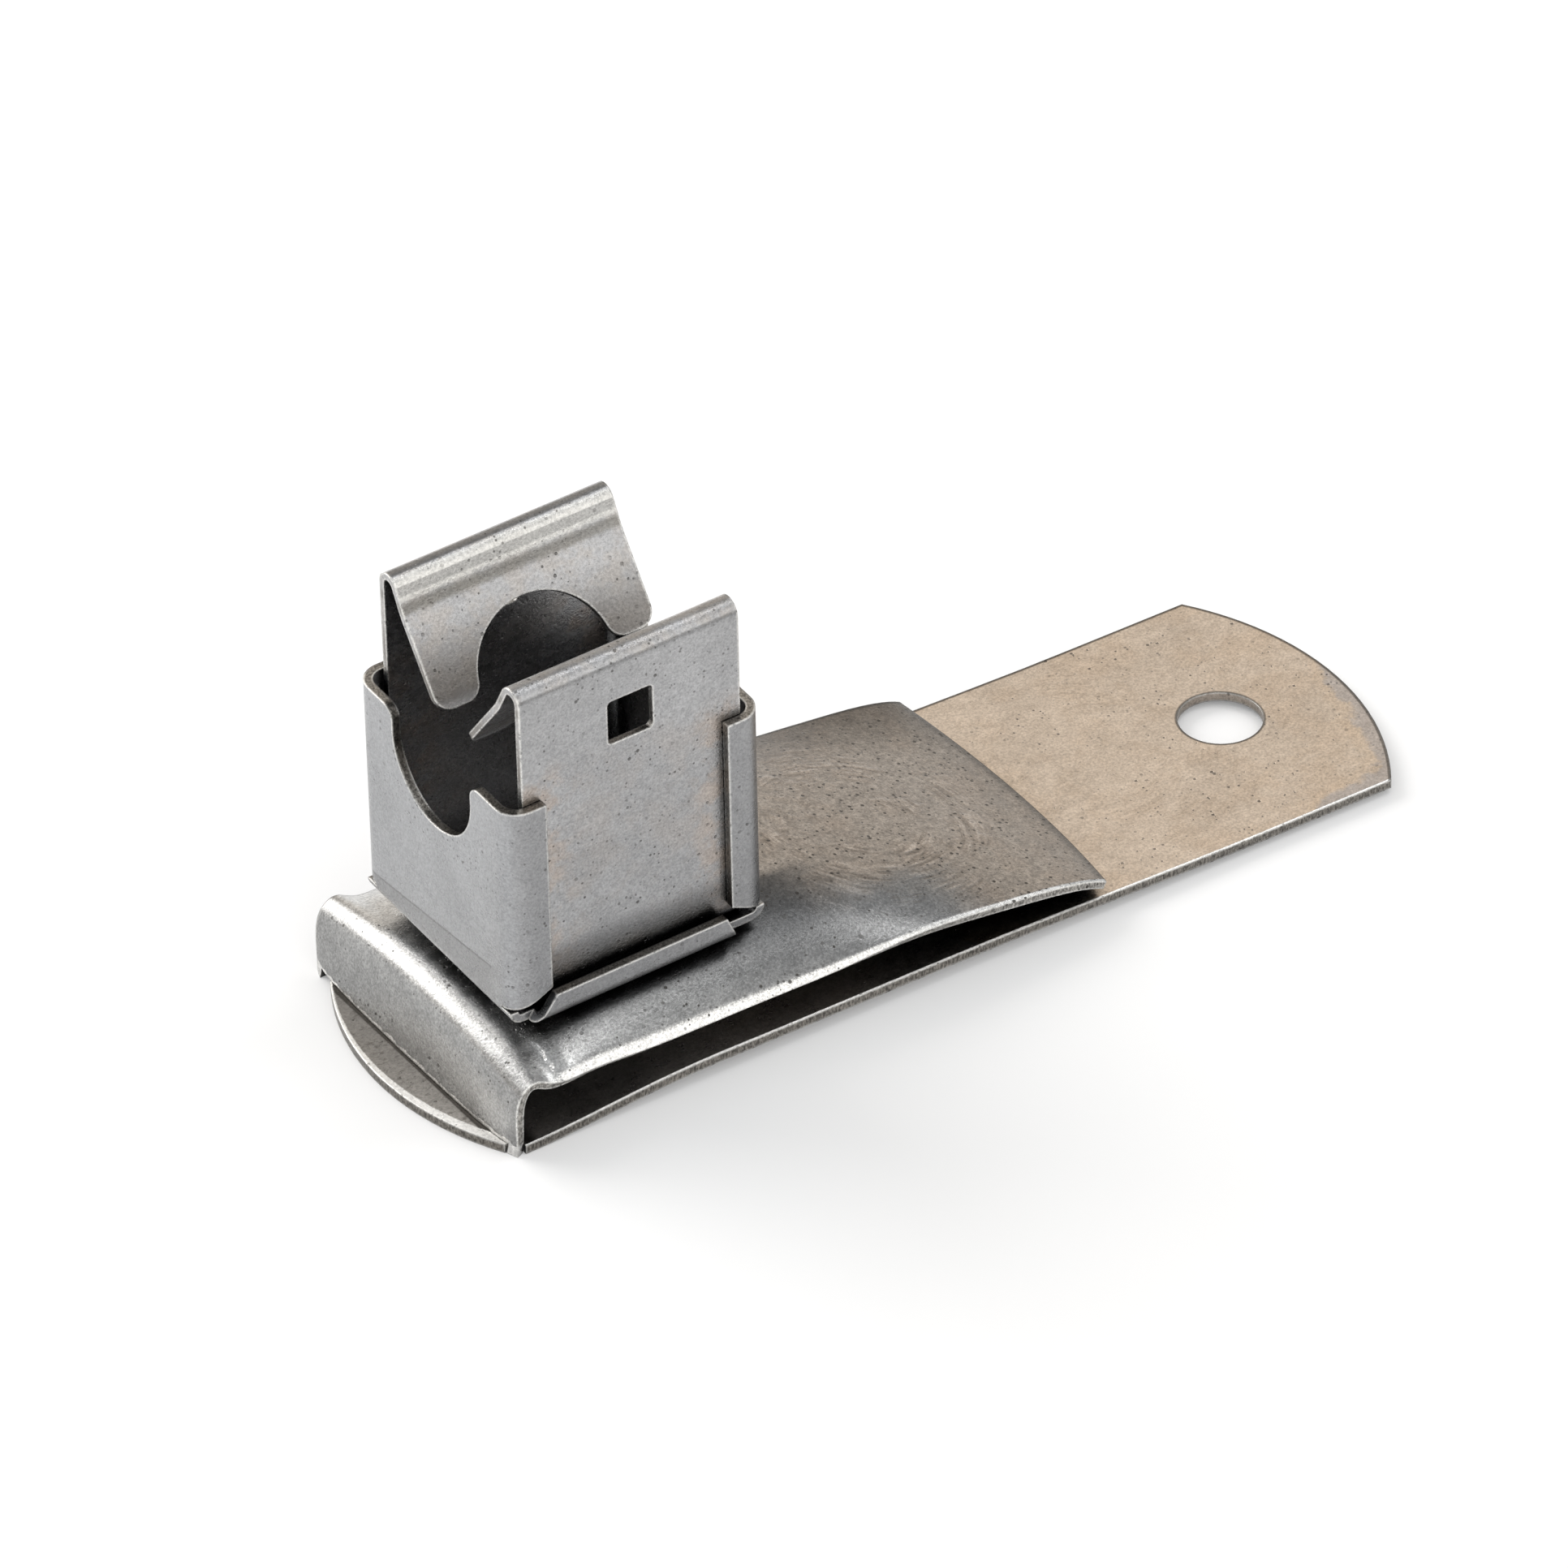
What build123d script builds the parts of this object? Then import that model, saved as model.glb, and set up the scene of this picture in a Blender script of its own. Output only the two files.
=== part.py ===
from build123d import *
import os
from math import cos, sin, tan, radians, sqrt

# Roof holder for a round lightning conductor, in stainless spring sheet.
# A flat strip is nailed under a slate, a dished leaf grips the slate's edge, and a
# cradle riveted on the leaf holds the conductor along X under two sprung lips.
# Millimetres. Z is up, X runs along the strip to the nail hole, and the origin is on
# the ground that the strip lies on, in the middle of the strip's length and width.

# Base strip
STRIP_LENGTH = 79.0          # tip to tip over both rounded ends
STRIP_WIDTH = 25.0
STRIP_SHEET = 0.7
STRIP_DROOP = 0.45           # how much lower the left end lies than the flat right end
STRIP_BOW = 0.5              # how much higher the middle lies than the flat right end
CLIMB = (0.04, 0.235)        # shares of the strip's length: between them it climbs to its middle
DESCENT = (0.48, 0.83)       # shares of its length: between them it sinks to its flat right end
END_RADIUS = 21.6            # both ends of the strip are arcs of this radius
TAB_SKEW = 0.7               # how far to the front the left end's arc is centred
NAIL_HOLE = 6.0              # diameter
NAIL_INSET = 9.55            # from the tip of the strip to the centre of the hole

# Leaf: a wall at the left end of the strip, a roll over its top, and a dished plate.
# Heights are measured from the underside of the strip's flat stretch.
LEAF_SHEET = 0.6
TAB_REACH = 3.3              # how far the strip's rounded end stands out past the wall
WALL_LEAN = 5.0              # degrees, the foot of the wall stands out
WALL_BULGE = 1.4             # how much further the wall's foot line stands out over the tab
WALL_FULLNESS = 8            # power of that bulge, which is nearly even between the legs
WALL_LEG = 0.9               # width of the legs that stand beside the strip's tab
TAB_CLEARANCE = 0.03         # around the strip where it passes through the wall
WALL_CLEARANCE = 0.12        # from the wall's legs to the strip's shoulders behind them
ROLL_RADIUS = 1.2            # outside of the roll
ROLL_TOP = 5.15              # crest of the roll at the sides of the leaf
ROLL_CROWN = 1.25            # how much higher the crest is on the centre line
SIDE_HEIGHT = 4.1            # top of the leaf along its sides
SIDE_WAVE = 0.3              # height of the sides' gentle waves
LEAF_REACH = 49.0            # foot of the wall to the free end, on the centre line
END_BOW = 1.2                # how far the free end's corners stay behind its middle
END_CURL = 0.6               # how much higher those corners are
END_CLEARANCE = 0.03         # from the free end down to the strip, at rest
DISH_FULLNESS = 3.5          # power of the dish's cross-section: 2 is a plain arch

# Seat of the cradle: the top of the dish, where the rivet is
SEAT_REACH = 12.45           # foot of the wall to the rivet
SEAT_HEIGHT = 7.4
SEAT_ROLL = 1.8              # degrees, the front of the cradle sits lower
SEAT_PITCH = 1.8             # degrees, its left end sits lower
SEAT_GAP = 0.17              # between the dish and the flat floor riveted on it

# Cradle bracket: floor, two notched end panels with flanges, two low lips
BRACKET_SHEET = 0.65
BRACKET_LENGTH = 20.3        # over the end panels, along X
BRACKET_WIDTH = 19.0         # over the flanges, along Y
BRACKET_HEIGHT = 18.05
CORNER_RADIUS = 1.75         # outside of the upright bends
FOLD_RADIUS = 1.0            # outside of the bends along the floor
FOLD_MARGIN = 0.7            # how much shorter than the bracket's width those bends are, per side
FLANGE_REACH = 3.0           # from the panel's outer face to the flange's free edge
FLANGE_LIFT = 2.5            # free edge of a flange above the foot of the bracket
FLANGE_RISE = 1.4            # how much lower the flange ends at its panel
LIP_HEIGHT = 2.15
LIP_OVERHANG = 0.5           # how far a lip stands out past the flanges
LIP_GAPS = (1.4, 2.8)        # from the panels' outer faces to the lip's ends, left and right
LIP_SLANTS = (1.6, 0.9)      # how much shorter the lip is at its top, left and right
NOTCH_RADIUS = 4.75
NOTCH_DEPTH = 6.55
NOTCH_ROUND = 1.0            # rounding of the notch's mouth

# Spring clip inside the bracket
CLIP_SHEET = 0.5
CLIP_LENGTH = 17.2           # along X
CLIP_WIDTH = 16.9            # over the walls
CLIP_HEIGHT = 26.6           # from the bracket's floor to the top of the folds
CLIP_BEND = 1.6              # outside of the bends between floor and walls
CLIP_FOLD = 1.05             # outside of the folds at the top
LIP_TILTS = (27.0, 36.3)     # degrees from upright, above and below the soft bend
SOFT_BEND = 2.0              # from the fold down to the soft bend
MOUTH = 2.95                 # between the tips of the two lips
CUTOUT_RADIUS = 5.2          # in the middle of each lip's lower edge
LEG_ROUND = 1.25             # rounding of the legs beside the cut-out
WINDOW = 3.55                # side of the square window in each wall
WINDOW_ROUND = 0.35
WINDOW_RISE = 21.25          # centre of the window above the bracket's floor
CLIP_GAP = 0.03              # between the clip's floor and the bracket's
FLANGE_CLEARANCE = 0.05      # between the clip's front wall and the flanges before it

# Rivet through leaf, bracket and clip
SHANK = 4.0                  # diameter
HEAD = 7.0                   # diameter
HEAD_HEIGHT = 0.7
HEAD_CHAMFER = 0.2
HEAD_CLEARANCE = 0.2         # the lower head just clears the dished underside
SHANK_CLEARANCE = 0.02       # radial, in the three holes

half_width = STRIP_WIDTH / 2
left_tip = -STRIP_LENGTH / 2
right_tip = STRIP_LENGTH / 2
end_bulge = END_RADIUS - sqrt(END_RADIUS**2 - half_width**2)
flat_start = left_tip + DESCENT[1] * STRIP_LENGTH
wall_foot = left_tip + TAB_REACH
wall_inside = wall_foot + LEAF_SHEET / cos(radians(WALL_LEAN))
tab_half = half_width - WALL_LEG
seat_x = wall_foot + SEAT_REACH

clip_foot = BRACKET_SHEET + CLIP_GAP
bracket_half = BRACKET_WIDTH / 2
# The clip is centred on the rivet, the bracket sits back until its flanges meet the clip.
bracket_y = bracket_half - BRACKET_SHEET - CLIP_WIDTH / 2 - FLANGE_CLEARANCE
# The bracket, the clip and the rivet are built upright on this seat and tilted with it.
seat = Pos(seat_x, 0, SEAT_HEIGHT + SEAT_GAP) * Rot(SEAT_ROLL, -SEAT_PITCH, 0)


def rivet_hole(height):
    """Cutter for the rivet's hole in a sheet at this height over the seat."""
    return Pos(0, 0, height) * Cylinder(SHANK / 2 + SHANK_CLEARANCE, 4 * LEAF_SHEET)


def strip_height(x):
    """Underside of the strip at this x, over the underside of its flat right end."""
    def ease(start, end):
        share = min(1, max(0, ((x - left_tip) / STRIP_LENGTH - start) / (end - start)))
        return share**2 * (3 - 2 * share)
    return (STRIP_DROOP + STRIP_BOW) * ease(*CLIMB) - STRIP_BOW * ease(*DESCENT) - STRIP_DROOP


def base_strip(steps=11):
    """Strip: a tab with a round end passes the wall at the left, a nail hole is at the right."""
    body = Pos(wall_inside + WALL_CLEARANCE, 0) * Rectangle(
        right_tip - wall_inside, STRIP_WIDTH, align=(Align.MIN, Align.CENTER))
    tab = Pos(left_tip, 0) * Rectangle(
        2 * TAB_REACH, 2 * (tab_half - TAB_CLEARANCE), align=(Align.MIN, Align.CENTER))
    ends = Rectangle(STRIP_LENGTH - 2 * end_bulge, 2 * STRIP_WIDTH)
    for side, skew in ((-1, TAB_SKEW), (1, 0)):
        ends += Pos(side * (right_tip - END_RADIUS), -skew) * Circle(END_RADIUS)
    outline = (body + tab) & ends
    outline -= Pos(right_tip - NAIL_INSET, 0) * Circle(NAIL_HOLE / 2)

    # Side view: a bowed stretch from the left tip, then the flat right end
    bow = []
    for step in range(steps + 1):
        x = left_tip + (flat_start - left_tip) * step / steps
        bow.append((x, strip_height(x)))
    low = Spline(*bow, tangents=((1, 0), (1, 0)))
    high = Pos(0, STRIP_SHEET) * low
    bowed = make_face([low, high, Line(low @ 0, high @ 0), Line(low @ 1, high @ 1)])
    flat = Pos(flat_start, 0) * Rectangle(right_tip - flat_start, STRIP_SHEET, align=(Align.MIN, Align.MIN))
    strip = extrude(Plane.XZ * bowed, STRIP_WIDTH, both=True) + extrude(Plane.XZ * flat, STRIP_WIDTH, both=True)
    return strip & extrude(outline, 4 * STRIP_SHEET, both=True)


def leaf_stations():
    """The leaf's top along X: (x, z) at the sides, (x, z) on the centre line, and fullness.

    The wall starts below the ground, where its foot is cut level afterwards.
    """
    roll_x = wall_foot + ROLL_TOP * sin(radians(WALL_LEAN)) + ROLL_RADIUS
    crest = ROLL_TOP + ROLL_CROWN
    below = -STRIP_DROOP - 1
    foot = wall_foot + below * tan(radians(WALL_LEAN))
    stations = [((foot, below), (foot - WALL_BULGE, below), WALL_FULLNESS)]
    for back, down in ((1.25, 1.2), (0.87, 0.42), (0, 0)):
        x = roll_x - back * ROLL_RADIUS
        fall = down * ROLL_RADIUS
        stations.append(((x, ROLL_TOP - fall), (x + 0.05 * ROLL_RADIUS, crest - fall), 2))

    def seat_line(x):
        return SEAT_HEIGHT + (x - seat_x) * tan(radians(SEAT_PITCH))

    climb = seat_line(roll_x) - crest
    for reach, side_z, share, fullness in (
            (1.0, (ROLL_TOP + SIDE_HEIGHT) / 2, 0.1, 2.3),
            (2.1, SIDE_HEIGHT + 0.8 * SIDE_WAVE, 0.5, 2.8),
            (4.2, SIDE_HEIGHT + SIDE_WAVE, 1.0, DISH_FULLNESS)):
        x = roll_x + reach * ROLL_RADIUS
        stations.append(((x, side_z), (x, crest + share * climb), fullness))

    half_seat = BRACKET_LENGTH / 2
    for x, side_rise in ((seat_x - 0.3 * half_seat, 0.4), (seat_x + 0.7 * half_seat, 0)):
        stations.append(((x, SIDE_HEIGHT + side_rise * SIDE_WAVE), (x, seat_line(x)), DISH_FULLNESS))
    free_end = wall_foot + LEAF_REACH
    low = strip_height(free_end) + STRIP_SHEET + LEAF_SHEET + END_CLEARANCE
    top = seat_line(seat_x + half_seat)
    for share, side_rise, drop, fullness in (
            (0.14, 0, 0.04, 3.3), (0.38, 0.9, 0.25, 3.0), (0.62, -0.8, 0.5, 2.6), (0.84, -3.3, 0.79, 2.2)):
        x = seat_x + half_seat + share * (free_end - seat_x - half_seat)
        stations.append(((x, SIDE_HEIGHT + side_rise * SIDE_WAVE), (x, top - drop * (top - low)), fullness))
    stations.append(((free_end - END_BOW, low + END_CURL), (free_end, low), 2))
    return stations


def section_points(stations, y):
    """Points of the leaf's top face in the plane at this y."""
    points = []
    for side, centre, fullness in stations:
        crown = 1 - abs(y / half_width) ** fullness
        points.append(Vector(side[0] + (centre[0] - side[0]) * crown, y,
                             side[1] + (centre[1] - side[1]) * crown))
    return points


def spacing(points):
    """Shares of the way along a row of points, for splines that all run alike."""
    reached = [0]
    for before, after in zip(points, points[1:]):
        reached.append(reached[-1] + (after - before).length ** 0.8)
    return [value / reached[-1] for value in reached]


def closest_edge(face, point):
    return min(face.edges(), key=lambda edge: (edge.center() - point).length)


def leaf(steps=5, samples=30):
    """Dished spring leaf with its wall, notched at the foot for the strip's tab."""
    stations = leaf_stations()
    shares = spacing(section_points(stations, half_width / 2))
    tops = []
    for step in range(-steps, steps + 1):
        part = step / steps
        y = half_width * part * (1.35 - 0.35 * abs(part))
        tops.append(Edge.make_spline(section_points(stations, y), parameters=shares))
    top = Shell.make_loft([Wire([edge]) for edge in tops]).face()

    # The underside lies one sheet below, square to the top face everywhere.
    evenly = [i / samples for i in range(samples + 1)]
    lows = []
    for edge in tops:
        points = []
        for share in evenly:
            point = edge.position_at(share)
            point -= top.normal_at(point) * LEAF_SHEET
            point.Y = max(-half_width, min(half_width, point.Y))
            points.append(point)
        lows.append(Edge.make_spline(points, parameters=evenly))
    under = Shell.make_loft([Wire([edge]) for edge in lows]).face()

    faces = [top, under]
    for k in (0, -1):
        faces.append(Face.make_surface_from_curves(
            closest_edge(top, tops[k].center()), closest_edge(under, lows[k].center())))
    for k in (0, 1):
        faces.append(Face.make_surface_from_curves(
            closest_edge(top, tops[steps].position_at(k)), closest_edge(under, lows[steps].position_at(k))))
    sheet = Solid(Shell(faces))

    tab_top = strip_height(wall_inside) + STRIP_SHEET
    slot = Pos(wall_foot, 0, tab_top + TAB_CLEARANCE) * Box(
        6 * LEAF_SHEET, 2 * tab_half, 4, align=(Align.CENTER, Align.CENTER, Align.MAX))
    ground = Pos(0, 0, -STRIP_DROOP) * Box(
        2 * STRIP_LENGTH, 2 * STRIP_WIDTH, 4, align=(Align.CENTER, Align.CENTER, Align.MAX))
    return sheet - ground - slot - seat * rivet_hole(-LEAF_SHEET / 2)


def trough(width, height, sheet, bend):
    """Cross-section of a sheet folded up along both sides, with its foot on the origin."""
    outside = Pos(0, height) * RectangleRounded(width, 2 * height, bend)
    inside = Pos(0, height) * RectangleRounded(width - 2 * sheet, 2 * (height - sheet), bend - sheet)
    above = Pos(0, height) * Rectangle(2 * width, 2 * height, align=(Align.CENTER, Align.MIN))
    return outside - inside - above


def notch(width):
    """The U-shaped notch in the top of an end panel of this width, with a rounded mouth."""
    panel = Rectangle(width, BRACKET_HEIGHT, align=(Align.CENTER, Align.MIN))
    seat = Pos(0, BRACKET_HEIGHT - NOTCH_DEPTH + NOTCH_RADIUS)
    open_top = Rectangle(2 * NOTCH_RADIUS, BRACKET_HEIGHT, align=(Align.CENTER, Align.MIN))
    notched = panel - seat * (Circle(NOTCH_RADIUS) + open_top)
    mouth = [v for v in notched.vertices() if abs(v.X) < 1.1 * NOTCH_RADIUS and v.Y > BRACKET_HEIGHT - 0.01]
    return panel - fillet(mouth, NOTCH_ROUND)


def bracket():
    """Folded cradle bracket with notched panels, side flanges and low lips on its floor."""
    half_length = BRACKET_LENGTH / 2
    straight = bracket_half - CORNER_RADIUS

    # Floor and both end panels; the folds along the floor run on a little past the panels
    profile = Plane.XZ * trough(BRACKET_LENGTH, BRACKET_HEIGHT, BRACKET_SHEET, FOLD_RADIUS)
    body = extrude(profile, straight, both=True)
    folds = extrude(profile, bracket_half - FOLD_MARGIN, both=True)
    body += folds & Box(2 * BRACKET_LENGTH, BRACKET_WIDTH, 2 * FOLD_RADIUS)

    # Flanges: the panels' sides turned round, their lower ends cut on a slant
    plan = RectangleRounded(BRACKET_LENGTH, BRACKET_WIDTH, CORNER_RADIUS)
    plan -= RectangleRounded(BRACKET_LENGTH - 2 * BRACKET_SHEET, BRACKET_WIDTH - 2 * BRACKET_SHEET,
                             CORNER_RADIUS - BRACKET_SHEET)
    plan -= Rectangle(BRACKET_LENGTH - 2 * FLANGE_REACH, 2 * BRACKET_WIDTH)
    plan -= Rectangle(2 * BRACKET_LENGTH, 2 * straight)
    low = FLANGE_LIFT - FLANGE_RISE
    free = half_length - FLANGE_REACH
    slants = make_face(Polyline(
        (-half_length, low), (-free, FLANGE_LIFT), (free, FLANGE_LIFT), (half_length, low),
        (half_length, BRACKET_HEIGHT), (-half_length, BRACKET_HEIGHT), close=True))
    body += extrude(plan, BRACKET_HEIGHT) & extrude(Plane.XZ * slants, BRACKET_WIDTH, both=True)

    # Lips along the floor's long sides, with slanted ends
    lips = trough(BRACKET_WIDTH + 2 * LIP_OVERHANG, LIP_HEIGHT, BRACKET_SHEET, FOLD_RADIUS)
    left = -half_length + LIP_GAPS[0]
    right = half_length - LIP_GAPS[1]
    ends = make_face(Polyline(
        (left, 0), (right, 0), (right - LIP_SLANTS[1], LIP_HEIGHT), (left + LIP_SLANTS[0], LIP_HEIGHT),
        close=True))
    body += extrude(Plane.YZ * lips, BRACKET_LENGTH, both=True) & extrude(
        Plane.XZ * ends, BRACKET_WIDTH, both=True)

    body -= extrude(Plane.YZ * notch(2 * straight), BRACKET_LENGTH, both=True)
    return seat * (Pos(0, bracket_y, 0) * body - rivet_hole(0))


def clip_profile():
    """Cross-section of the clip in Y and Z, its foot on the origin."""
    half = CLIP_WIDTH / 2
    steep, lower = (radians(tilt) for tilt in LIP_TILTS)
    # The wall and the lip's upper part would meet this far above the fold's centre.
    apex = CLIP_FOLD * tan((radians(180) - steep) / 2)
    corner = (half, CLIP_HEIGHT - CLIP_FOLD + apex)
    reach = apex + SOFT_BEND
    soft = (corner[0] - reach * sin(steep), corner[1] - reach * cos(steep))
    drop = (soft[0] - MOUTH / 2) / tan(lower)
    side = [(half, 0), corner, soft, (MOUTH / 2, soft[1] - drop)]
    path = [(-y, z) for y, z in reversed(side)] + side
    bends = [4 * CLIP_FOLD, CLIP_FOLD, CLIP_BEND]
    outside = FilletPolyline(*path, radius=bends + bends[::-1])
    return outside.offset_2d(CLIP_SHEET, side=Side.LEFT, closed=True), soft, lower


def spring_clip():
    """Spring clip: a floor, two walls with a square window, and two lips folded inward."""
    profile, soft, tilt = clip_profile()
    body = extrude(Plane.YZ * make_face(profile), CLIP_LENGTH / 2, both=True)

    # Each lip's lower part is trimmed to two rounded legs, in its own plane.
    length = (soft[0] - MOUTH / 2) / sin(tilt)
    blank = Rectangle(CLIP_LENGTH, length, align=(Align.CENTER, Align.MIN))
    legs = blank - Circle(CUTOUT_RADIUS)
    tips = [v for v in legs.vertices() if v.Y < 0.01]
    trim = blank - fillet(tips, LEG_ROUND)
    for side in (-1, 1):
        tip = Vector(0, side * MOUTH / 2, soft[1] - length * cos(tilt))
        up = Vector(0, side * sin(tilt), cos(tilt))
        lip_plane = Plane(origin=tip, x_dir=(1, 0, 0), z_dir=Vector(1, 0, 0).cross(up))
        body -= extrude(lip_plane * trim, 3 * CLIP_SHEET, both=True)
        wall = Plane.XZ.offset(-side * CLIP_WIDTH / 2) * Pos(0, WINDOW_RISE)
        body -= extrude(wall * RectangleRounded(WINDOW, WINDOW, WINDOW_ROUND), 2 * CLIP_SHEET, both=True)
    return seat * (Pos(0, 0, clip_foot) * body - rivet_hole(clip_foot))


def rivet():
    """Flat-headed rivet; its heads clamp the leaf, the bracket and the clip."""
    lower = -SEAT_GAP - LEAF_SHEET - HEAD_CLEARANCE
    upper = clip_foot + CLIP_SHEET + CLIP_GAP
    body = Pos(0, 0, lower) * Cylinder(SHANK / 2, upper - lower, align=(Align.CENTER, Align.CENTER, Align.MIN))
    for base, turned in ((lower - HEAD_HEIGHT, False), (upper, True)):
        head = Cylinder(HEAD / 2, HEAD_HEIGHT, align=(Align.CENTER, Align.CENTER, Align.MIN))
        rim = head.edges().filter_by(GeomType.CIRCLE).sort_by(Axis.Z)[-1 if turned else 0]
        body += Pos(0, 0, base) * chamfer(rim, HEAD_CHAMFER)
    return seat * body


os.makedirs("parts", exist_ok=True)
for name, shape in (("base_strip", base_strip()), ("leaf_spring", leaf()), ("cradle_bracket", bracket()),
                    ("spring_clip", spring_clip()), ("rivet", rivet())):
    export_step(Pos(0, 0, STRIP_DROOP) * shape, f"parts/{name}.step")
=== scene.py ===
import bpy
from math import cos, radians, sin
from mathutils import Matrix, Vector

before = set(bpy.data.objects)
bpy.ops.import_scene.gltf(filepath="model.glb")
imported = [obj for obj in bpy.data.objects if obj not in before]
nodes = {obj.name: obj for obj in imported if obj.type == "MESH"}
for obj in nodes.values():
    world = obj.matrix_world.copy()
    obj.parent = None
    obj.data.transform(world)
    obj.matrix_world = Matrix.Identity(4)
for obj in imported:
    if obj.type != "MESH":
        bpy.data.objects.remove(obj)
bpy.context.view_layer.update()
scene = bpy.context.scene

MM = 0.001
PICTURE = 1932                      # the photo's side in pixels

# Camera, as fitted to the photo: where it stands, how it is turned, how far it zooms
FOCAL = 16298.0                     # focal length in pixels of the photo
AZIMUTH = radians(-33.488)
ELEVATION = radians(36.663)
ROLL = radians(-0.602)
DISTANCE = 901.3 * MM
TARGET = Vector((-5.021, 0, 0.45)) * MM
TARGET_PIXEL = (987.434, 1107.436)  # where the target lies in the photo
SENSOR = 36                         # camera's sensor in millimetres

# Places on the part in millimetres: X along the strip, Y across it, Z up
HALF_WIDTH = 12.5                   # of the strip and of the leaf
END_RADIUS = 21.6                   # of the strip's two round ends
END_CENTRE = 17.9                   # how far from the middle their centres lie
HOLE = (29.95, 0)
HOLE_RADIUS = 3.0
BRACKET_MIDDLE = (-24.05, 0.3)
CLIP_MIDDLE = -24.2
CRADLE_SLOPE = 0.0314               # how the cradle rises along X
FREE_END_BOW = 7.7                  # how the leaf's free end curves back: metres per square metre aside

# Rounding of the sheets' edges in millimetres
SOFT_EDGE = 0.17                    # seen in reflections
RUBBED_EDGE = 0.28                  # rubbed by use
BACK_RIGHT = (0.55, 0.83, 0.0)      # way that the edges with painted shade face, away from the light

# Colours that all pieces share
WEAR_AND_HIGHLIGHT = (0.85, 0.84, 0.81)
PAINTED_HIGHLIGHT = (0.85, 0.84, 0.82)
EDGE_SHADE = (0.11, 0.105, 0.10)
PIT = (0.05, 0.045, 0.04)
RUB_DARK = (0.16, 0.14, 0.12)
RUB_LIGHT = (0.62, 0.57, 0.52)

# Strip
TAN = (0.63, 0.54, 0.45)
TAN_BLOOM = (0.60, 0.49, 0.385)
DUSKY = (0.42, 0.40, 0.37)
STRAW = (0.64, 0.51, 0.38)
BLUE_GREY = (0.43, 0.42, 0.43)
TAB_NEAR = (0.31, 0.297, 0.275)
TAB_FAR = (0.20, 0.19, 0.175)
TAB_GRAIN = (0.08, 0.07, 0.06)
SLIT_SHADE = (0.03, 0.025, 0.02)
STRIP_CUT = (0.42, 0.39, 0.35)
HOLE_WALL = (0.64, 0.55, 0.47)
STRIP_EDGE_SHADE = (0.05, 0.045, 0.04)

# Leaf
LEAF_GREY = (0.385, 0.385, 0.38)
DISH_GREY = (0.235, 0.235, 0.234)
TAUPE = (0.33, 0.30, 0.27)
TAUPE_BLOOM = (0.36, 0.30, 0.25)
ROLL_SHEEN = (0.62, 0.62, 0.61)
FOOT_SHADE = (0.085, 0.086, 0.087)
END_SHADE = (0.20, 0.19, 0.18)
END_EDGE_SHADE = (0.12, 0.115, 0.11)
LEAF_CUT = (0.45, 0.43, 0.40)
LEAF_EDGE_SHADE = (0.05, 0.048, 0.045)

# Bracket
BRACKET_GREY = (0.37, 0.375, 0.385)
DIE_BAND = (0.27, 0.27, 0.275)
DIE_LINE = (0.20, 0.20, 0.20)
FLANGE_SHADE = (0.31, 0.31, 0.315)
BRACKET_CUT = (0.34, 0.32, 0.29)

# Clip
CLIP_GREY = (0.405, 0.405, 0.41)
CLIP_BLOOM = (0.44, 0.40, 0.37)
PINK_BLOOM = (0.47, 0.40, 0.35)
CLIP_FOOT_SHADE = (0.08, 0.08, 0.08)
LIP_BLOOM = (0.44, 0.40, 0.36)
LEG_SHADE = (0.17, 0.155, 0.14)
LIP_HIGHLIGHT = (0.68, 0.67, 0.64)
LIP_BEND_SHADE = (0.22, 0.21, 0.19)
CREST_SHADE = (0.18, 0.18, 0.18)
FOLD_SHADE = (0.17, 0.17, 0.17)

# Rivet
RIVET_GREY = (0.42, 0.42, 0.42)
RIVET_BLOOM = (0.40, 0.38, 0.36)

# Floor and sky
PAPER = (0.80, 0.80, 0.80)
PAPER_FRONT = (0.36, 0.36, 0.36)
FLOOR_GLOW = 0.20
FLOOR_FRONT = (-110, -170)          # where reflections see the floor darken, in millimetres along Y
FRONT_GLOW = 0.45                   # share of the glow that is left there
WHITE = (1.0, 1.0, 1.0)
SKY_BACK = (0.90, 0.84, 0.77)
SKY_TOP = (0.60, 0.61, 0.62)
SKY_FRONT = (1.35, 1.34, 1.32)


def add_camera():
    """Stand the camera where the photo was taken from."""
    back = Vector((sin(AZIMUTH) * cos(ELEVATION), -cos(AZIMUTH) * cos(ELEVATION), sin(ELEVATION)))
    level = Vector((cos(AZIMUTH), sin(AZIMUTH), 0))
    upright = back.cross(level)
    right = cos(ROLL) * level + sin(ROLL) * upright
    up = cos(ROLL) * upright - sin(ROLL) * level
    per_pixel = DISTANCE / FOCAL
    aside = (TARGET_PIXEL[0] - PICTURE / 2) * per_pixel
    above = (PICTURE / 2 - TARGET_PIXEL[1]) * per_pixel
    place = TARGET - aside * right - above * up + DISTANCE * back
    data = bpy.data.cameras.new("camera")
    data.sensor_width = SENSOR
    data.lens = FOCAL / PICTURE * SENSOR
    data.clip_start = 0.05
    data.clip_end = 20
    camera = bpy.data.objects.new("camera", data)
    scene.collection.objects.link(camera)
    turned = Matrix((right, up, back)).transposed().to_4x4()
    camera.matrix_world = Matrix.Translation(place) @ turned
    scene.camera = camera


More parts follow.
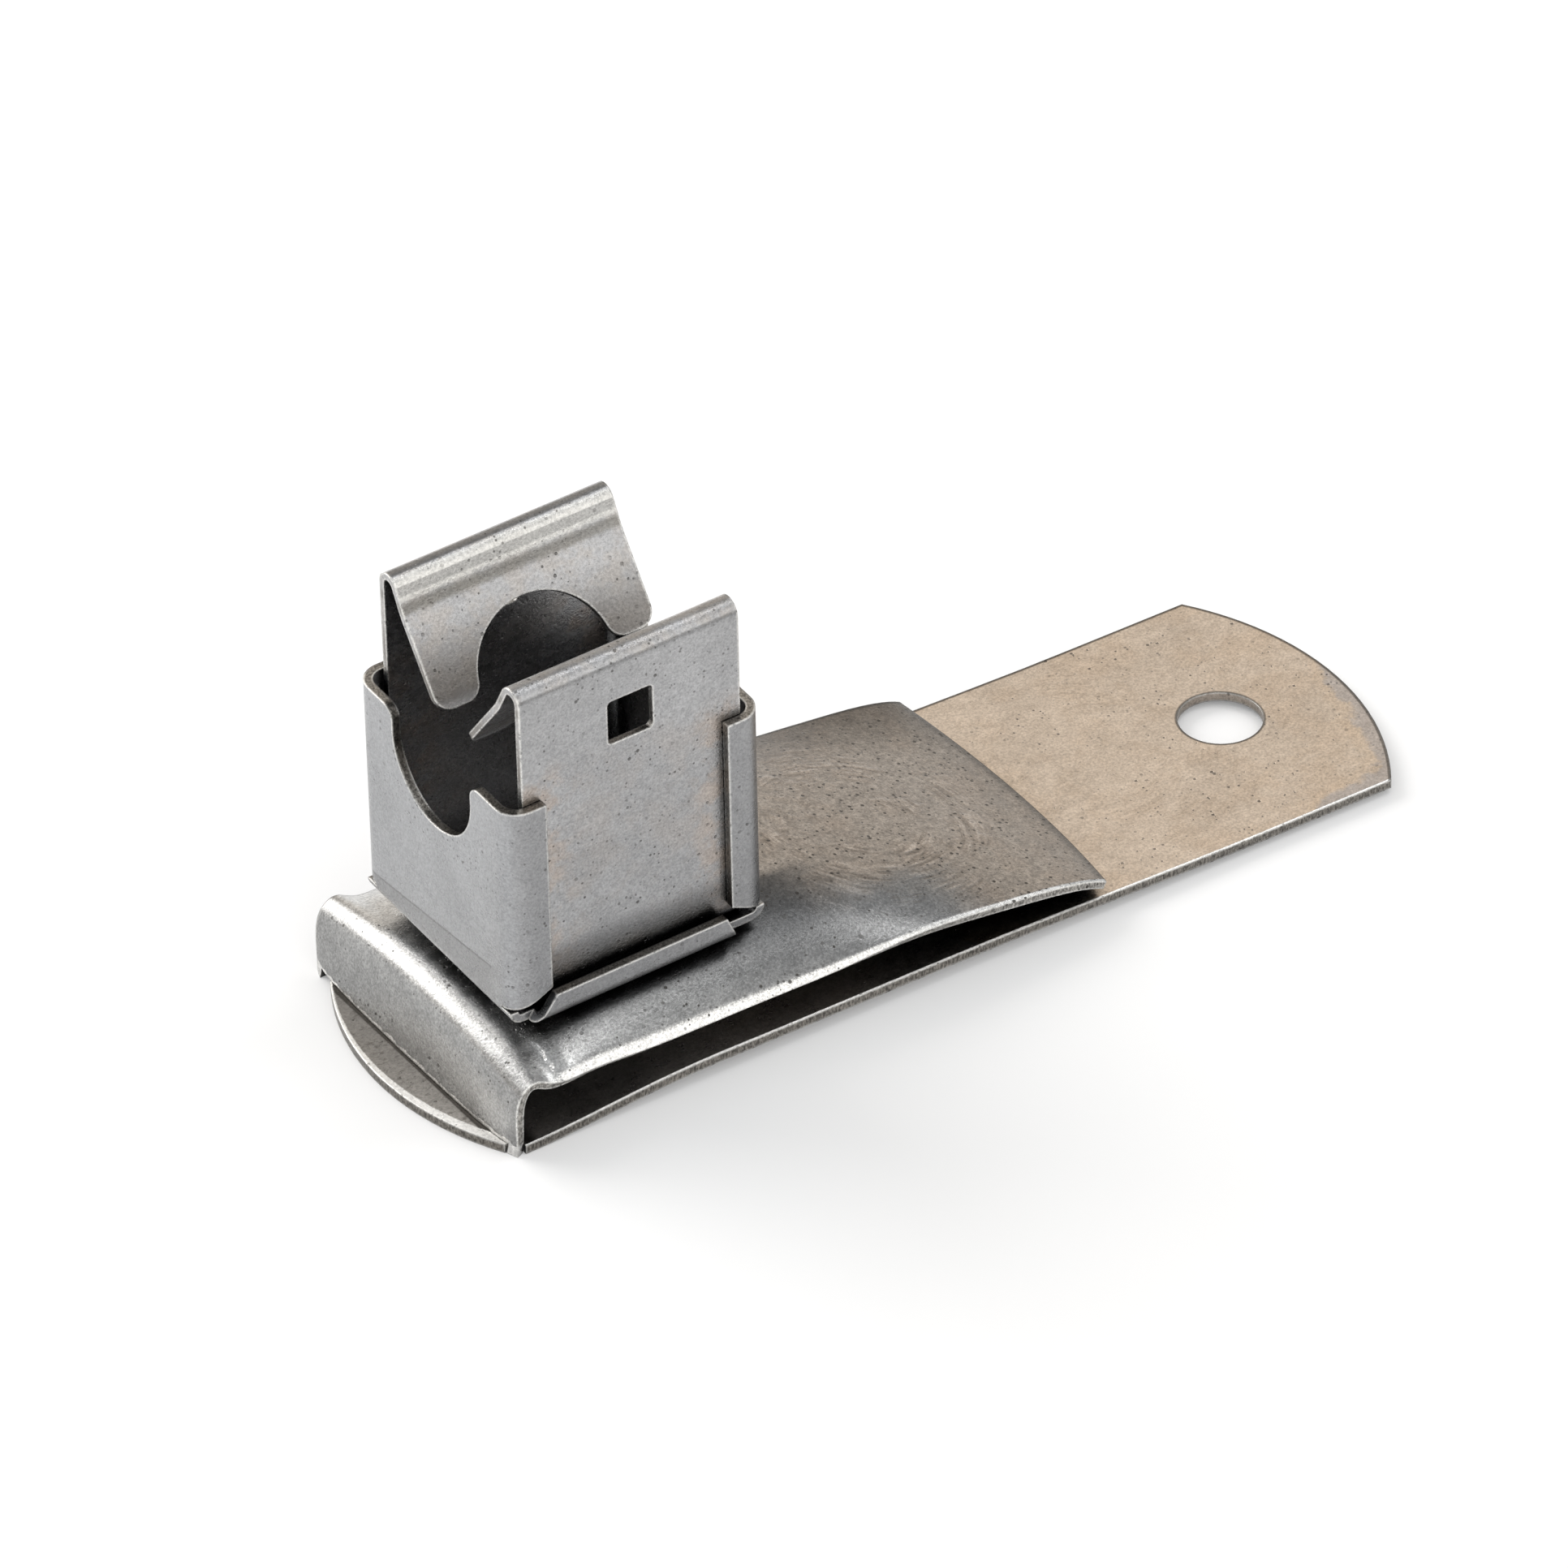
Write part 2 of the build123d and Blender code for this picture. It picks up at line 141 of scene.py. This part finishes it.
class Tree:
    """A shader's nodes, wired with short calls."""

    def __init__(self, owner):
        self.owner = owner
        owner.use_nodes = True
        self.nodes = owner.node_tree.nodes
        self.links = owner.node_tree.links

    def add(self, kind, inputs=None, **settings):
        node = self.nodes.new("ShaderNode" + kind)
        for key, value in settings.items():
            setattr(node, key, value)
        for key, value in (inputs or {}).items():
            self.feed(node.inputs[key], value)
        return node

    def feed(self, socket, value):
        if isinstance(value, bpy.types.NodeSocket):
            self.links.new(value, socket)
        elif isinstance(value, tuple) and len(socket.default_value) == 4:
            socket.default_value = (*value, 1)
        else:
            socket.default_value = value

    def noise(self, place, size, detail=3, rough=0.6):
        """Noise whose blotches are about this many millimetres across."""
        return self.add("TexNoise", {"Vector": place, "Scale": 1 / (size * MM), "Detail": detail,
                                     "Roughness": rough}).outputs[0]

    def ramp(self, value, low, high, to_low=0.0, to_high=1.0):
        return self.add("MapRange", {
            "Value": value, "From Min": low, "From Max": high, "To Min": to_low, "To Max": to_high},
            interpolation_type="SMOOTHSTEP").outputs[0]

    def mix(self, share, first, second, blend="MIX"):
        node = self.nodes.new("ShaderNodeMix")
        node.data_type = "RGBA"
        node.blend_type = blend
        for index, value in ((0, share), (6, first), (7, second)):
            self.feed(node.inputs[index], value)
        return node.outputs[2]

    def math(self, operation, first, second=0.0):
        node = self.add("Math", operation=operation)
        self.feed(node.inputs[0], first)
        self.feed(node.inputs[1], second)
        return node.outputs[0]

    def times(self, first, second):
        return self.math("MULTIPLY", first, second)

    def plus(self, first, second):
        return self.math("ADD", first, second)

    def minus(self, first, second):
        return self.math("SUBTRACT", first, second)

    def either(self, first, second):
        return self.math("MAXIMUM", first, second)

    def magnitude(self, value):
        return self.math("ABSOLUTE", value)

    def dot(self, first, second):
        node = self.add("VectorMath", {0: first, 1: second}, operation="DOT_PRODUCT")
        return node.outputs["Value"]

    def split(self, vector):
        return self.add("SeparateXYZ", {"Vector": vector}).outputs[:3]

    def stretched(self, place, x, y, z):
        """The same coordinates, drawn out by these factors."""
        return self.add("Mapping", {"Vector": place, "Scale": (1 / x, 1 / y, 1 / z)}).outputs[0]


class Surface(Tree):
    """A steel surface that gathers layers of colour, roughness and relief."""

    def __init__(self, name):
        super().__init__(bpy.data.materials.new(name))
        self.shader = self.nodes["Principled BSDF"]
        self.place = self.add("TexCoord").outputs["Object"]
        self.x, self.y, self.z = self.split(self.place)
        self.normal = self.add("NewGeometry").outputs["Normal"]
        self.facing = self.split(self.normal)
        self.nx, self.ny, self.nz = (self.magnitude(way) for way in self.facing)
        self.soft_normal = self.add("Bevel", {"Radius": SOFT_EDGE * MM}, samples=4).outputs[0]
        rounded = self.add("Bevel", {"Radius": RUBBED_EDGE * MM}, samples=6).outputs[0]
        self.edge = self.ramp(self.dot(rounded, self.normal), 0.993, 0.92)
        # How far a rounded edge faces away from the lit side, where its edge gets painted shade
        self.shaded_side = self.ramp(self.dot(rounded, BACK_RIGHT), 0.05, 0.30)

    def from_mm(self, value, low, high):
        """Ramp over a length, with its ends in millimetres."""
        return self.ramp(value, low * MM, high * MM)

    def band(self, value, start, full, still_full, end):
        """One between the middle two lengths, fading out to the outer two, in millimetres."""
        return self.times(self.from_mm(value, start, full), self.from_mm(value, end, still_full))

    def from_edge(self, side):
        """Distance from the near (-1) or far (1) long edge."""
        return self.minus(HALF_WIDTH * MM, self.times(self.y, side))

    def away_from(self, x, y):
        dx = self.minus(self.x, x * MM)
        dy = self.minus(self.y, y * MM)
        return dx, dy, self.math("SQRT", self.plus(self.times(dx, dx), self.times(dy, dy)))

    def layer(self, share, colour, strength=1.0):
        self.tone = self.mix(self.times(share, strength), self.tone, colour)

    def shade(self, level):
        grey = self.add("CombineColor", {"Red": level, "Green": level, "Blue": level}).outputs[0]
        self.tone = self.mix(1.0, self.tone, grey, "MULTIPLY")

    def steel(self, colour, roughness, grain=0.13, specks=0.8):
        """Satin sheet: soft clouds, with the fine grain and small dark pits that close() lays on."""
        self.grain = grain
        self.specks = specks
        self.fine = self.noise(self.place, 0.2, 3, 0.8)
        self.coarse = self.noise(self.stretched(self.place, 1.4, 1, 1), 1.0, 6, 0.75)
        clouds = self.ramp(self.noise(self.place, 7, 4), 0.32, 0.68)
        self.tone = self.mix(clouds, tuple(0.93 * c for c in colour), tuple(1.06 * c for c in colour))
        clusters = self.ramp(self.noise(self.place, 3, 3), 0.42, 0.60, 0.35, 1.0)
        small_pits = self.dots(0.38, 0.4, 0.27)
        large_pits = self.dots(0.7, 0.2, 0.22)
        self.pits = self.times(self.either(small_pits, large_pits), clusters)
        self.rough = self.ramp(self.coarse, 0.3, 0.7, roughness - 0.04, roughness + 0.05)
        self.height = self.plus(self.fine, self.times(self.coarse, 0.3))
        self.height = self.minus(self.height, self.times(self.pits, 0.9))

    def dots(self, spacing, least, largest):
        """Round dots in some cells of this size, of uneven radius."""
        cells = self.add("TexVoronoi", {"Vector": self.place, "Scale": 1 / (spacing * MM)}, feature="F1")
        which = self.split(cells.outputs["Color"])[0]
        radius = self.ramp(which, least, 1.0, 0.0, largest)
        return self.ramp(self.minus(radius, cells.outputs["Distance"]), 0.0, 0.3 * largest)

    def bloom(self, where, colour, size=3.5, strength=1.0):
        """Patches of heat tint in this area."""
        patches = self.ramp(self.noise(self.place, size, 6, 0.62), 0.42, 0.62)
        self.layer(self.times(where, patches), colour, strength)

    def arcs(self, centre, reach, depth, share):
        """Rubbing marks in arcs about this centre, fading out at this distance."""
        dx, dy, away = self.away_from(*centre)
        turn = self.times(self.math("ARCTAN2", dy, dx), 0.8 * MM)
        marks = self.noise(self.add("CombineXYZ", {"X": away, "Y": turn}).outputs[0], 0.4, 3, 0.6)
        ring = self.band(away, 0.15 * reach, 0.3 * reach, 0.6 * reach, reach)
        broken = self.times(self.ramp(self.noise(self.place, 4, 3), 0.44, 0.62), ring)
        self.height = self.plus(self.height, self.times(self.times(marks, broken), 4 * depth))
        self.layer(self.times(self.ramp(marks, 0.50, 0.40), broken), RUB_DARK, share * 0.5)
        self.layer(self.times(self.ramp(marks, 0.52, 0.62), broken), RUB_LIGHT, share * 0.3)

    def cut_face(self, where, colour):
        """Sheared edge of the sheet, darker and coarser than its faces."""
        grit = self.noise(self.stretched(self.place, 1, 1, 2.5), 0.16, 3, 0.7)
        self.layer(where, self.mix(self.ramp(grit, 0.35, 0.65), tuple(0.3 * c for c in colour), colour))

    def wear_and_edge_light(self, where=1.0):
        """Edges rubbed bright, with a painted highlight where they face the light and painted shade
        where they face away, broken up by grain.
        """
        broken = self.ramp(self.noise(self.place, 0.4, 3), 0.24, 0.46)
        worn = self.times(self.times(self.edge, broken), where)
        self.layer(worn, self.mix(self.shaded_side, WEAR_AND_HIGHLIGHT, EDGE_SHADE), 0.9)

    def highlight_band(self, where):
        """A painted highlight in a band, with grainy borders."""
        grainy = self.plus(where, self.ramp(self.noise(self.place, 0.12, 2), 0.3, 0.7, -0.15, 0.15))
        self.layer(self.times(self.ramp(grainy, 0.2, 0.8), self.ramp(where, 0.02, 0.2)), PAINTED_HIGHLIGHT, 0.9)

    def tilt(self, x=0.0, y=0.0):
        """Lean the surface's normal by these amounts."""
        lean = self.add("CombineXYZ", {"X": x, "Y": y}).outputs[0]
        leant = self.add("VectorMath", {0: self.soft_normal, 1: lean}, operation="ADD").outputs[0]
        self.soft_normal = self.add("VectorMath", {0: leant}, operation="NORMALIZE").outputs[0]

    def painted_hollow_shade(self, reach=6.0, clear=0.72, least=0.01):
        """Painted shade: the colour darkened by ambient occlusion where the surface lies deep inside the
        part.
        """
        open_air = self.add("AmbientOcclusion", {"Distance": reach * MM}, samples=6).outputs["AO"]
        self.shade(self.ramp(open_air, 0.14, clear, least, 1.0))

    def close(self, relief=0.03):
        """Lay the grain and the pits over all colour layers, painted light and shade among them, and
        join everything to the shader.
        """
        for noise, share in ((self.coarse, 0.45), (self.fine, 1.1)):
            self.shade(self.ramp(noise, 0.3, 0.7, 1 - share * self.grain, 1 + share * self.grain))
        self.layer(self.pits, PIT, self.specks)
        bump = self.add("Bump", {"Strength": 1.0, "Distance": relief * MM, "Height": self.height,
                                 "Normal": self.soft_normal})
        self.feed(self.shader.inputs["Base Color"], self.tone)
        self.feed(self.shader.inputs["Roughness"], self.rough)
        self.feed(self.shader.inputs["Normal"], bump.outputs[0])
        self.shader.inputs["Metallic"].default_value = 1.0
        return self.owner


def strip_steel():
    s = Surface("strip_steel")
    s.steel(TAN, 0.30, 0.19, 0.75)
    s.bloom(1.0, TAN_BLOOM, 4, 0.6)
    s.layer(s.from_mm(s.x, -5, -34), DUSKY, 0.85)
    s.arcs((19, 2), 15, 0.5, 0.4)
    from_near = s.from_edge(-1)
    from_centre = s.away_from(END_CENTRE, 0)[2]
    # A blue-grey film with a straw-coloured border along the near side and the round end
    tip = s.minus(END_RADIUS * MM, from_centre)
    tip = s.plus(tip, s.times(s.from_mm(s.y, -2, 8), 5 * MM))
    side = s.plus(from_near, s.times(s.from_mm(s.x, 31, 25), 6 * MM))
    reach = s.plus(s.math("MINIMUM", tip, side), s.times(s.noise(s.place, 2.5, 6, 0.7), 4 * MM))
    s.layer(s.from_mm(reach, 4.6, 3.8), STRAW, 0.3)
    s.layer(s.from_mm(reach, 3.6, 2.8), BLUE_GREY, 0.65)
    # The tab left of the leaf's wall: dull, grained across, with painted shade in the slit along the
    # wall and a painted highlight on its rim
    tab = s.from_mm(s.x, -35.5, -36)
    across = s.noise(s.stretched(s.place, 1.8, 1, 1), 0.3, 5, 0.7)
    s.layer(tab, s.mix(s.from_mm(s.y, -11, 3), TAB_NEAR, TAB_FAR), 0.9)
    s.layer(s.times(tab, s.ramp(across, 0.48, 0.34)), TAB_GRAIN, 0.6)
    s.layer(s.band(s.x, -37.1, -36.95, -35, -34), SLIT_SHADE, 0.9)
    rim = s.minus(s.away_from(-END_CENTRE, 0)[2], END_RADIUS * MM)
    s.highlight_band(s.times(s.from_mm(rim, -0.6, -0.3), tab))
    s.cut_face(s.ramp(s.nz, 0.7, 0.4), STRIP_CUT)
    # The nail hole's wall is lighter and warmer than the outer edges
    hole = s.away_from(*HOLE)[2]
    inner = s.from_mm(hole, HOLE_RADIUS + 0.15, HOLE_RADIUS + 0.05)
    s.layer(s.times(inner, s.ramp(s.nz, 0.7, 0.4)), HOLE_WALL, 0.85)
    # The near edge's burr, with a painted highlight on its top
    burr = s.times(s.from_mm(from_near, 0.23, 0.10), s.from_mm(s.x, -36.5, -36))
    s.tilt(0.0, s.times(burr, -0.5))
    top = s.ramp(s.nz, 0.6, 0.8)
    s.highlight_band(s.times(burr, top))
    # Edge wear, with painted highlight and shade on the edges
    s.wear_and_edge_light()
    # Painted shade: dark lines along the far edge, the round end and the hole's rim
    end = s.from_mm(from_centre, END_RADIUS - 0.3, END_RADIUS - 0.15)
    line = s.either(s.from_mm(s.from_edge(1), 0.28, 0.14), s.times(end, s.from_mm(s.x, 30, 34)))
    line = s.either(line, s.from_mm(hole, HOLE_RADIUS + 0.22, HOLE_RADIUS + 0.10))
    s.layer(s.times(line, s.times(s.from_mm(s.x, -8, -7), top)), STRIP_EDGE_SHADE, 0.75)
    # Painted shade in the hollows
    s.painted_hollow_shade(7, 0.8)
    return s.close(0.022)


def leaf_steel():
    s = Surface("leaf_steel")
    s.steel(LEAF_GREY, 0.25, 0.27, 0.9)
    # Grey near the roll and the near edge, taupe over the rest of the dish
    s.layer(s.from_mm(s.x, -24, -13), DISH_GREY, 0.9)
    wavy = s.plus(s.y, s.times(s.noise(s.place, 6), 4 * MM))
    taupe = s.times(s.from_mm(s.x, -16, -10), s.from_mm(wavy, -7, -4))
    taupe = s.either(taupe, s.from_mm(s.x, -2, 4))
    s.layer(taupe, TAUPE, 0.95)
    mottle = s.ramp(s.noise(s.place, 0.5, 4, 0.7), 0.36, 0.64, -0.16, 0.16)
    s.shade(s.plus(s.times(taupe, mottle), 1.0))
    s.pits = s.either(s.pits, s.times(taupe, s.dots(0.5, 0.0, 0.32)))
    s.bloom(taupe, TAUPE_BLOOM, 4, 0.4)
    s.arcs((-1, -1), 12, 0.8, 1.3)
    # Painted shade towards the far side of the dish, a painted sheen over the roll, painted shade down
    # the wall
    s.shade(s.either(s.from_mm(s.x, -14, -20), s.ramp(s.y, 5 * MM, 12.5 * MM, 1.0, 0.45)))
    s.layer(s.band(s.x, -34.7, -34.3, -31.5, -30.5), ROLL_SHEEN, 0.8)
    s.shade(s.either(s.from_mm(s.x, -35.2, -34.6), s.ramp(s.z, 7.5 * MM, 3 * MM, 1.0, 0.78)))
    # Painted shade beside the cradle's foot
    beside = s.times(s.band(s.x, -31, -29, -12, -5), s.band(s.y, -11.7, -8.8, -5, -4))
    s.layer(beside, FOOT_SHADE, 0.92)
    # Painted shade over the free end, darkest along its edge
    bowed = s.plus(s.x, s.times(s.times(s.y, s.y), FREE_END_BOW))
    s.layer(s.from_mm(bowed, 7.5, 12.7), END_SHADE, 0.35)
    s.layer(s.from_mm(bowed, 11.8, 12.7), END_EDGE_SHADE, 0.75)
    # The near rim: a painted highlight, narrowing towards the free end
    rim = s.math("DIVIDE", s.from_edge(-1), s.ramp(s.x, -30 * MM, 0.0, 0.95 * MM, 0.5 * MM))
    side = s.times(s.ramp(rim, 1.0, 0.25), s.from_mm(s.x, -34, -32))
    behind = s.times(s.band(s.x, -35.6, -34.8, -32.2, -31.2), s.from_mm(s.y, -3, -9))
    s.tilt(s.times(behind, -0.25), s.times(side, -0.45))
    upward = s.ramp(s.nz, 0.4, 0.6)
    s.highlight_band(s.times(side, upward))
    s.cut_face(s.ramp(s.ny, 0.84, 0.92), LEAF_CUT)
    # Painted highlight on the burr where the wall stands on the strip's tab
    ragged = s.plus(s.z, s.times(s.noise(s.place, 0.9, 3), 0.6 * MM))
    s.highlight_band(s.times(s.from_mm(ragged, 1.32, 1.18), s.from_mm(s.x, -34.8, -35.2)))
    # Wrinkle between the roll and the near edge of the dish
    wrinkle = s.plus(s.x, s.times(s.noise(s.place, 1.2, 3), 0.8 * MM))
    near = s.times(s.from_mm(s.y, -8.6, -12), s.from_mm(s.x, -29, -31.7))
    s.height = s.plus(s.height, s.times(s.times(s.from_mm(wrinkle, -32.4, -31.95), near), 9.0))
    # Edge wear, with painted highlight and shade on the edges
    s.wear_and_edge_light()
    # Painted shade in a line along the far edge
    far = s.times(s.from_mm(s.from_edge(1), 0.35, 0.15), s.from_mm(s.x, -28, -26))
    s.layer(s.times(far, upward), LEAF_EDGE_SHADE, 0.8)
    # Painted shade in the hollows, lighter on upward faces
    s.painted_hollow_shade(6, 0.72, s.ramp(s.facing[2], 0.1, 0.5, 0.01, 0.5))
    return s.close(0.02)


def bracket_steel():
    s = Surface("bracket_steel")
    s.steel(BRACKET_GREY, 0.28, 0.16, 0.6)
    # Mark of the folding die along the foot of the left panel
    foot = s.plus(s.z, s.times(s.y, 0.09))
    wavy = s.plus(s.y, s.times(s.noise(s.place, 0.8), 2 * MM))
    left = s.times(s.ramp(s.nx, 0.9, 0.97), s.from_mm(s.x, -30, -33))
    left = s.times(left, s.from_mm(wavy, -6.5, -4.5))
    s.layer(s.times(s.from_mm(foot, 10.75, 10.6), left), DIE_BAND, 0.7)
    s.layer(s.times(s.from_mm(s.magnitude(s.minus(foot, 10.65 * MM)), 0.13, 0.05), left), DIE_LINE, 0.8)
    # Sheared rims: tops of the panels, flanges and lips, the notches, and the flanges' edges
    middle_x, middle_y = BRACKET_MIDDLE
    along = s.magnitude(s.minus(s.x, middle_x * MM))
    aside = s.magnitude(s.minus(s.y, middle_y * MM))
    high = s.from_mm(s.z, 12, 13)
    outside = s.from_mm(aside, 8.55, 8.65)
    tops = s.times(s.ramp(s.nz, 0.8, 0.9), s.either(high, s.times(outside, s.from_mm(s.z, 8.2, 8.5))))
    notch = s.times(s.ramp(s.nx, 0.6, 0.4), s.times(s.from_mm(aside, 7.6, 7.4), high))
    sides = s.times(s.from_mm(aside, 8.6, 8.8), s.from_mm(along, 7.8, 7.5))
    sides = s.times(s.ramp(s.nx, 0.85, 0.95), sides)
    # Painted shade on the flanges' faces that look to the near and far sides
    s.layer(s.times(s.ramp(s.ny, 0.5, 0.95), outside), FLANGE_SHADE, 0.8)
    s.cut_face(s.either(tops, s.either(notch, sides)), BRACKET_CUT)
    # Edge wear, with painted highlight and shade on the edges
    s.wear_and_edge_light()
    # Painted shade in the hollows
    s.painted_hollow_shade()
    return s.close()


def clip_steel():
    s = Surface("clip_steel")
    s.steel(CLIP_GREY, 0.26, 0.18, 0.7)
    walls = s.times(s.ramp(s.ny, 0.95, 0.98), s.from_mm(s.z, 29, 26))
    margins = s.either(s.from_mm(s.x, -27.5, -31), s.from_mm(s.x, -20.5, -17.5))
    s.bloom(walls, CLIP_BLOOM, 4, 0.35)
    s.bloom(s.times(walls, margins), PINK_BLOOM, 2, 0.7)
    # Painted shade on the walls' lower part
    s.layer(s.times(walls, s.from_mm(s.z, 13.5, 11.5)), CLIP_FOOT_SHADE, 0.6)
    # Heights over the clip's own floor, which leans a little towards the left end
    along = s.minus(s.x, CLIP_MIDDLE * MM)
    rise = s.minus(s.z, s.times(along, CRADLE_SLOPE))
    # Lips: a painted highlight above their soft bend, painted shade along it, and painted shade that
    # darkens down the legs
    lips = s.times(s.ramp(s.ny, 0.96, 0.93), s.from_mm(s.z, 27, 28))
    s.bloom(lips, LIP_BLOOM, 2.0, 0.45)
    s.layer(s.times(lips, s.from_mm(s.z, 32.2, 28.4)), LEG_SHADE, 0.8)
    bend = s.plus(rise, s.times(s.noise(s.place, 0.5, 4), 0.3 * MM))
    inward = s.ramp(s.times(s.facing[1], s.math("SIGN", s.y)), -0.35, -0.6)
    s.layer(s.times(s.times(lips, inward), s.from_mm(bend, 33.9, 34.4)), LIP_HIGHLIGHT, 0.9)
    bend_shade = s.from_mm(s.magnitude(s.minus(bend, 33.65 * MM)), 0.55, 0.15)
    s.layer(s.times(lips, bend_shade), LIP_BEND_SHADE, 0.75)
    # Folds: painted shade on their crests and in a line below them, and worn edges with painted
    # highlight and shade only at their ends
    s.layer(s.times(s.ramp(s.nz, 0.93, 0.97), s.from_mm(rise, 34.9, 35.2)), CREST_SHADE, 0.85)
    under = s.times(s.ramp(s.nz, 0.10, 0.20), s.ramp(s.nz, 0.55, 0.40))
    under = s.times(under, s.times(s.ramp(s.ny, 0.8, 0.9), s.from_mm(rise, 34.2, 34.4)))
    s.layer(under, FOLD_SHADE, 0.5)
    s.wear_and_edge_light(s.either(s.from_mm(s.magnitude(along), 8.0, 8.2), s.from_mm(rise, 34.6, 34.3)))
    # Painted shade in the hollows
    s.painted_hollow_shade()
    return s.close()


def rivet_steel():
    s = Surface("rivet_steel")
    s.steel(RIVET_GREY, 0.34)
    s.bloom(1.0, RIVET_BLOOM)
    # Edge wear, with painted highlight and shade on the edges
    s.wear_and_edge_light()
    # Painted shade in the hollows
    s.painted_hollow_shade()
    return s.close()


def softbox(name, towards, side, power, distance=0.7):
    """Square area light in this direction from the part, facing it."""
    data = bpy.data.lights.new(name, "AREA")
    data.shape = "SQUARE"
    data.size = side
    data.energy = power
    light = bpy.data.objects.new(name, data)
    scene.collection.objects.link(light)
    out = Vector(towards).normalized()
    light.location = out * distance
    light.rotation_euler = out.to_track_quat("Z", "Y").to_euler()


def add_floor():
    """Pale paper that keeps shadows; only reflections see that it ends in front."""
    bpy.ops.mesh.primitive_plane_add(size=6)
    floor = bpy.context.object
    floor.name = "floor"
    t = Tree(bpy.data.materials.new("paper"))
    ray = t.add("LightPath").outputs
    start, end = FLOOR_FRONT
    front = t.ramp(t.split(t.add("TexCoord").outputs["Object"])[1], start * MM, end * MM)
    front = t.times(front, ray["Is Glossy Ray"])
    paper = t.nodes["Principled BSDF"]
    t.feed(paper.inputs["Base Color"], t.mix(front, PAPER, PAPER_FRONT))
    paper.inputs["Roughness"].default_value = 0.9
    paper.inputs["Specular IOR Level"].default_value = 0.0
    glow = t.add("Emission", {"Strength": t.ramp(front, 0, 1, FLOOR_GLOW, FRONT_GLOW * FLOOR_GLOW)})
    both = t.add("AddShader", {0: paper.outputs[0], 1: glow.outputs[0]})
    mirrored = t.either(ray["Is Glossy Ray"], ray["Is Transmission Ray"])
    seen = t.either(ray["Is Camera Ray"], mirrored)
    choose = t.add("MixShader", {0: seen, 1: paper.outputs[0], 2: both.outputs[0]})
    t.feed(t.nodes["Material Output"].inputs["Surface"], choose.outputs[0])
    floor.data.materials.append(t.owner)


def add_world():
    """A studio that is white low down, grey overhead, bright in front and warm behind."""
    scene.world = bpy.data.worlds.new("studio")
    t = Tree(scene.world)
    y, z = t.split(t.add("TexCoord").outputs["Generated"])[1:]
    sky = t.mix(t.ramp(y, 0.40, 0.56), SKY_TOP, SKY_BACK)
    sky = t.mix(t.ramp(y, -0.42, -0.60), sky, SKY_FRONT)
    sky = t.mix(t.ramp(z, 0.14, 0.04), sky, WHITE)
    sky = t.mix(t.add("LightPath").outputs["Is Camera Ray"], sky, WHITE)
    t.feed(t.nodes["Background"].inputs["Color"], sky)


FINISHES = {
    "base_strip": strip_steel,
    "leaf_spring": leaf_steel,
    "cradle_bracket": bracket_steel,
    "spring_clip": clip_steel,
    "rivet": rivet_steel,
}

add_camera()
for name, finish in FINISHES.items():
    node = nodes[name]
    node.data.materials.clear()
    node.data.materials.append(finish())
add_floor()
add_world()
softbox("back_left", (-0.35, 0.75, 0.50), 0.56, 3.0)
softbox("top", (0.40, -0.06, 0.91), 0.20, 0.40)
scene.view_settings.view_transform = "Standard"
